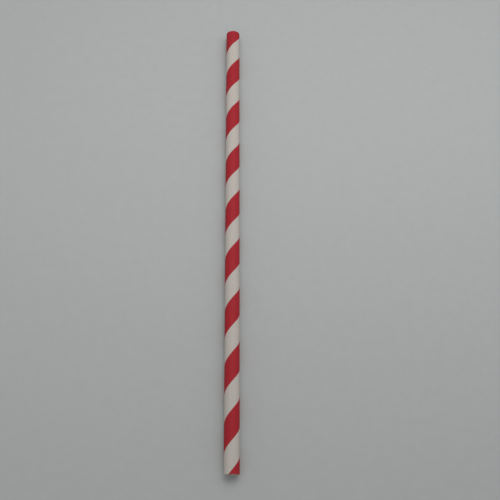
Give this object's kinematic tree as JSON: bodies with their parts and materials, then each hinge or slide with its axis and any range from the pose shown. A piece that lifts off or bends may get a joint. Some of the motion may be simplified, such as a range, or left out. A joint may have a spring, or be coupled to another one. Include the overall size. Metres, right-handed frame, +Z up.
{
  "type": "paper drinking straw",
  "caption": "Spiral-wound paper drinking straw, open at both ends, with right-handed red and white stripes, lying on its side.",
  "frame": {"origin": "middle of the straw's lowest line, on the surface it lies on", "axes": "+Y along the straw towards its far end, +Z up, +X across it"},
  "size_m": [0.006, 0.197, 0.006],
  "materials": {
    "striped_paper": "matte"
  },
  "bodies": {
    "root": {"straw_tube": "striped_paper"}
  },
  "joints": []
}
